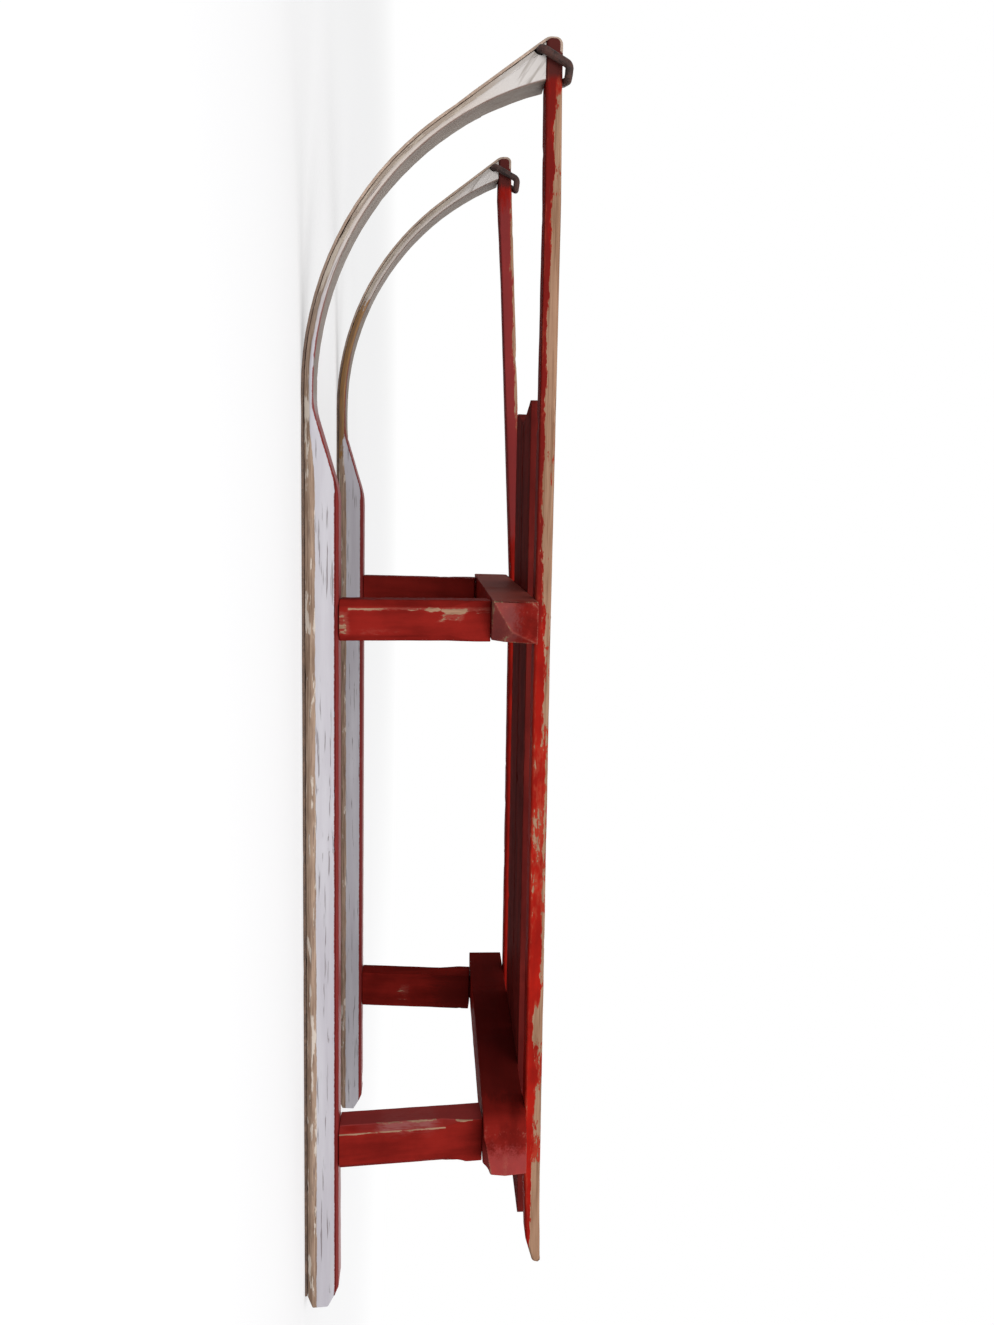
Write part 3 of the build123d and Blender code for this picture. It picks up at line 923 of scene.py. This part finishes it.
@dataclass(frozen=True)
class HandWork:
    """How a piece has lost its crispness, in metres: arrises taken off, wandering and dented."""

    arris: float
    every: float
    waver: float
    nick: float
    steps: int = 3
    sharp: float = math.radians(24)
    flat: float = math.radians(8)
    smooth_under: float = math.radians(52)
    sliver: float = 0.0002
    strayed: float = 0.6
    waver_scale: float = 55.0
    knock_scale: float = 38.0
    chip_scale: float = 140.0
    on_flats: float = 0.4
    nick_at: float = 0.34
    nick_soft: float = 0.3

    def copy(self, name: str, new_name: str, cuts: Sequence[Along], seed: float) -> bpy.types.Object:
        """Make the worn copy of a node.

        Args:
            name: The node.
            new_name: Name of the new piece.
            cuts: Axes across which the mesh is cut up finely, so that its arrises can wander.
            seed: Moves the wear, so that no two pieces match.

        Returns:
            The new piece, which replaces the node.
        """
        worn = merged(name)
        solid = BVHTree.FromBMesh(worn)
        bmesh.ops.dissolve_degenerate(worn, dist=self.sliver, edges=worn.edges[:])
        if self.arris:
            self.round_off(worn, solid)
        low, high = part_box(name)
        for axis in cuts:
            self.cut_up(worn, axis.value, (low[axis.value], high[axis.value]))
        self.dent(worn, seed)
        piece = new_piece(worn, new_name)
        piece.data.set_sharp_from_angle(angle=self.smooth_under)
        piece.modifiers.new("even_shading", "WEIGHTED_NORMAL").keep_sharp = True
        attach(piece, "root")
        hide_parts(name)
        return piece

    def round_off(self, worn: bmesh.types.BMesh, solid: BVHTree) -> None:
        """Take off the arrises, and bring vertices that stray from the solid back to its surface."""
        sharp = [edge for edge in worn.edges if edge.is_manifold and edge.calc_face_angle() > self.sharp]
        bmesh.ops.bevel(
            worn, geom=sharp, offset=self.arris, offset_type="OFFSET", segments=self.steps, profile=0.5,
            affect="EDGES", clamp_overlap=False, material=-1,
        )
        for vertex in worn.verts:
            spot, _, _, away = solid.find_nearest(vertex.co)
            if away > self.arris * self.strayed:
                vertex.co = spot

    def cut_up(self, worn: bmesh.types.BMesh, axis: int, limits: Limits) -> None:
        """Cut the faces at equal steps across one axis."""
        normal = Vector((0.0, 0.0, 0.0))
        normal[axis] = 1.0
        place = limits[0] + self.every / 2
        while place < limits[1]:
            bmesh.ops.bisect_plane(
                worn, geom=worn.verts[:] + worn.edges[:] + worn.faces[:], dist=1e-6,
                plane_co=normal * place, plane_no=normal,
            )
            place += self.every

    def dent(self, worn: bmesh.types.BMesh, seed: float) -> None:
        """Let the arrises wander inwards and knock dents into them."""
        worn.normal_update()
        shift = Vector((seed, seed * 0.61, seed * 0.27))
        moves = []
        for vertex in worn.verts:
            angles = [edge.calc_face_angle() for edge in vertex.link_edges if edge.is_manifold]
            on_arris = max(angles, default=0.0) > self.flat
            spot = vertex.co + shift
            depth = self.waver * (0.5 + 0.5 * noise.noise(spot * self.waver_scale))
            if on_arris:
                knock = noise.noise(spot * self.knock_scale + shift) * 0.8
                knock += noise.noise(spot * self.chip_scale) * 0.3
                depth += self.nick * min(max(knock - self.nick_at, 0.0) / self.nick_soft, 1.0)
            else:
                depth *= self.on_flats
            moves.append(vertex.normal * -depth)
        for vertex, move in zip(worn.verts, moves):
            vertex.co += move


TIMBER_WORK = HandWork(arris=0.0009, every=0.0035, waver=0.0004, nick=0.0011)
PLATE_WORK = HandWork(arris=0.0004, every=0.006, waver=0.0002, nick=0.0003)
SMITH_WORK = HandWork(arris=0.0, every=0.0016, waver=0.0005, nick=0.0)


@dataclass
class Timbers:
    """All the wood: runners, rails, slats, posts and crossbeams, worn and painted."""

    frame: dict
    tail: float
    first_seed: float = 1.0
    seed_step: float = 3.7

    def build(self) -> None:
        """Make the worn copy of each wooden node and paint it."""
        for count, entry in enumerate(self.frame["record"]["subparts"]):
            name, slot = entry["node"], entry["material_slot"]
            if slot == "old_iron":
                continue
            seed = self.first_seed + self.seed_step * count
            piece = TIMBER_WORK.copy(name, "worn_" + name, [Along.of(name)], seed)
            piece.data.materials.append(self.paint(name, seed))
            LOG.info("%s: %d faces", piece.name, len(piece.data.polygons))

    def paint(self, name: str, seed: float) -> bpy.types.Material:
        """Choose and make the finish of one piece."""
        patches = PATCHES.get(name, [])
        if name.startswith("runner"):
            return RUNNER_WHITE.dress("paint_" + name, Bent(Side.of(name), self.tail), patches, seed)
        reds = {"rail": RAIL_RED, "slat": SEAT_RED}
        red = reds.get(name.split("_")[0], FRAME_RED)
        return red.dress("paint_" + name, Hewn(name, self.tail), patches, seed)


class Nail(NamedTuple):
    """A nail's head: its place with X from the tail, and the direction it faces."""

    place: Place
    faces: Direction


@dataclass
class Ironwork:
    """The soles, the rings round the tips and all the nails.

    Each of the rows is where nails go down into a crossbeam: X, and the height of the slats and of the rails.
    """

    tail: float
    seed: float = 50.0
    head_radius: float = 0.0031
    head_high: float = 0.0012
    head_top: float = 0.94
    head_sides: int = 14
    head_round: float = 0.00035
    head_rough: float = 0.00012
    head_tilt: float = 0.05
    rim_over: float = math.radians(60)
    proud: float = 0.0005
    slat_ys: tuple[float, ...] = (0.022, 0.066)
    rail_y: float = 0.157
    rail_back: float = 0.009
    stray: float = 0.002
    sole_first: float = 0.045
    sole_every: float = 0.148
    bend_shares: tuple[float, ...] = (0.25, 0.62, 1.0)
    slope_run: float = 0.074
    rows: tuple[Place, ...] = (
        (0.652, 0.2174, 0.2204), (0.672, 0.2174, 0.2204), (0.156, 0.2199, 0.2237), (0.178, 0.2199, 0.2237),
    )

    def build(self) -> None:
        """Make the pieces, each with its own finish of old iron."""
        metal = IRON.dress("old_iron", self.tail)
        sole_metal = SOLE_IRON.dress("sole_iron", self.tail)
        for count, side in enumerate(("left", "right")):
            for kind, work, cuts, finish in (
                ("shoe", PLATE_WORK, [Along.X], sole_metal), ("tow_ring", SMITH_WORK, list(Along), metal),
            ):
                name = f"{kind}_{side}"
                piece = work.copy(name, "rusty_" + name, cuts, self.seed + count)
                piece.data.materials.append(finish)
                LOG.info("%s: %d faces", piece.name, len(piece.data.polygons))
        nails = self.seat_nails() + self.sole_nails(Side.LEFT) + self.sole_nails(Side.RIGHT)
        self.heads(nails, metal)

    def seat_nails(self) -> list[Nail]:
        """Two nails through each slat in each row, and one through each rail in every second row."""
        nails = []
        for count, (x, slat_z, rail_z) in enumerate(self.rows):
            for sign in (-1, 1):
                step = self.stray * math.sin(7.0 * count + sign)
                nails.append(Nail((x, sign * self.slat_ys[count % 2] + step, slat_z), UPWARDS))
                nails.append(Nail((x - step, sign * self.slat_ys[1 - count % 2] - step, slat_z), UPWARDS))
                if count % 2:
                    nails.append(Nail((x - self.rail_back, sign * self.rail_y + step, rail_z), UPWARDS))
        return nails

    def sole_nails(self, side: Side) -> list[Nail]:
        """Nails through the iron: along the sole, through the bend and up the slope."""
        middle = TRACK / 2 - RUNNER_WIDE / 2
        nails = []
        x = self.sole_first
        while x < side.bend_start:
            nails.append(Nail((x, side.sign * middle, 0.0), DOWNWARDS))
            x += self.sole_every
        for share in self.bend_shares:
            angle = share * side.rake
            z = BEND_RADIUS * (1 - math.cos(angle))
            place = (side.bend_start + BEND_RADIUS * math.sin(angle), side.sign * (middle - z * math.tan(LEAN)), z)
            nails.append(Nail(place, (math.sin(angle), 0.0, -math.cos(angle))))
        (x, y, z), faces = nails[-1]
        rise = self.slope_run * math.sin(side.rake)
        place = (x + self.slope_run * math.cos(side.rake), y - side.sign * rise * math.tan(LEAN), z + rise)
        nails.append(Nail(place, faces))
        return nails

    def heads(self, nails: Sequence[Nail], metal: bpy.types.Material) -> None:
        """Make all the nails' heads as one piece.

        Args:
            nails: Where they are.
            metal: Their finish.
        """
        made = bmesh.new()
        for count, nail in enumerate(nails):
            turn = Vector(nail.faces).to_track_quat("Z", "Y").to_matrix().to_4x4()
            sunk = Vector(nail.faces) * (self.proud - self.head_high / 2)
            place = Matrix.Translation(Vector(nail.place) + Vector((self.tail, 0.0, 0.0)) + sunk)
            tilt = Matrix.Rotation(self.head_tilt * math.sin(11.0 * count), 4, "X")
            head = bmesh.ops.create_cone(
                made, cap_ends=True, cap_tris=False, segments=self.head_sides, radius1=self.head_radius,
                radius2=self.head_radius * self.head_top, depth=self.head_high, matrix=place @ turn @ tilt,
            )
            rims = [
                edge for edge in {edge for vertex in head["verts"] for edge in vertex.link_edges}
                if edge.calc_face_angle() > self.rim_over
            ]
            bmesh.ops.bevel(
                made, geom=rims, offset=self.head_round, offset_type="OFFSET", segments=2, profile=0.5,
                affect="EDGES", clamp_overlap=True, material=-1,
            )
        for vertex in made.verts:
            vertex.co += vertex.normal * self.head_rough * noise.noise(vertex.co * 600.0)
        piece = new_piece(made, "nail_heads")
        piece.data.materials.append(metal)
        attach(piece, "root")
        LOG.info("%s: %d", piece.name, len(nails))


class Lamp(NamedTuple):
    """A square soft light."""

    name: str
    place: Place
    size: float
    power: float


@dataclass
class Studio:
    """The pale floor, soft lights and the camera."""

    tail: float
    room_light: float = 0.42
    floor_light: float = 0.30
    floor_seen: Colour = (0.96, 0.96, 0.97)
    floor_size: float = 14.0
    floor_fades: Limits = (0.65, 2.6)
    lamps: tuple[Lamp, ...] = (
        Lamp("key", place=(0.05, 2.3, 1.0), size=2.0, power=48.0),
        Lamp("overhead", place=(-0.2, -0.3, 2.3), size=2.2, power=16.0),
        Lamp("behind", place=(-1.6, -1.5, 0.8), size=1.6, power=9.0),
    )
    lit: Place = (0.0, 0.0, 0.1)
    eye: Place = (0.75742, 1.1247, 0.11159)
    pitch: float = math.radians(8.026)
    yaw: float = math.radians(3.64)
    roll: float = math.radians(-1.2)
    lens: float = 29.124
    sensor: float = 36.0

    def build(self) -> None:
        """Make all of it."""
        self.world()
        self.floor()
        self.lights()
        self.camera()

    def world(self) -> None:
        """An even soft light, and a white background where a ray looks straight at it."""
        world = bpy.data.worlds.new("studio")
        bpy.context.scene.world = world
        world.use_nodes = True
        graph = Graph(world.node_tree)
        strength = self.room_light + self.seen(graph) * (1.0 - self.room_light)
        back = graph.add("ShaderNodeBackground", {}, {"Color": (1.0, 1.0, 1.0), "Strength": strength})
        graph.add("ShaderNodeOutputWorld", {}, {"Surface": back})

    def seen(self, graph: Graph) -> Sock:
        """1 for rays that come from the camera, a mirror or glass."""
        rays = [
            graph.add("ShaderNodeLightPath", {}, {}, name)
            for name in ("Is Camera Ray", "Is Glossy Ray", "Is Transmission Ray")
        ]
        return rays[0].at_least(rays[1]).at_least(rays[2])

    def floor(self) -> None:
        """A wide pale floor that fades into the background and throws little light up again."""
        made = bmesh.new()
        bmesh.ops.create_grid(made, x_segments=1, y_segments=1, size=self.floor_size)
        floor = new_piece(made, "floor")
        material, graph = new_material("pale_floor")
        x, y, _ = graph.split(graph.place())
        seen = self.seen(graph)
        away = graph.ramp(graph.math("SQRT", x * x + y * y), *self.floor_fades)
        colour = graph.mix(seen, (self.floor_light,) * 3, self.floor_seen)
        matt = graph.add("ShaderNodeBsdfDiffuse", {}, {"Color": colour})
        glow = graph.add("ShaderNodeEmission", {}, {"Color": (1.0, 1.0, 1.0), "Strength": 1.0})
        lifted = graph.add("ShaderNodeMixShader", {}, {0: seen * (0.5 + away * 0.5), 1: matt, 2: glow})
        graph.add("ShaderNodeOutputMaterial", {}, {"Surface": lifted})
        floor.data.materials.append(material)

    def lights(self) -> None:
        """A big key light on the camera's side, a soft one overhead and a weak one from behind."""
        for lamp in self.lamps:
            data = bpy.data.lights.new(lamp.name, "AREA")
            data.size = lamp.size
            data.energy = lamp.power
            holder = bpy.data.objects.new(lamp.name, data)
            holder.location = lamp.place
            aim = Vector(self.lit) - Vector(lamp.place)
            holder.rotation_euler = aim.to_track_quat("-Z", "Y").to_euler()
            bpy.context.scene.collection.objects.link(holder)

    def camera(self) -> None:
        """The photograph's camera, as it was fitted: on the sledge's left, rolled so that +X is up."""
        upright = Matrix(((0, 0, 1), (1, 0, 0), (0, 1, 0)))
        turn = Matrix.Rotation(self.roll, 3, "Z") @ Matrix.Rotation(self.pitch, 3, "X")
        turn = turn @ Matrix.Rotation(self.yaw, 3, "Y")
        x, y, z = self.eye
        data = bpy.data.cameras.new("camera")
        data.sensor_width = self.sensor
        data.lens = self.lens
        holder = bpy.data.objects.new("camera", data)
        holder.matrix_world = Matrix.Translation((self.tail + x, y, z)) @ (turn @ upright).transposed().to_4x4()
        bpy.context.scene.collection.objects.link(holder)
        bpy.context.scene.camera = holder


def main() -> None:
    """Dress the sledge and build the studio."""
    logging.basicConfig(level=logging.INFO, format="%(message)s")
    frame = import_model()
    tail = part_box("runner_left")[0].x
    bpy.context.scene.view_settings.view_transform = "Standard"
    Timbers(frame, tail).build()
    Ironwork(tail).build()
    Studio(tail).build()


if __name__ == "__main__":
    main()
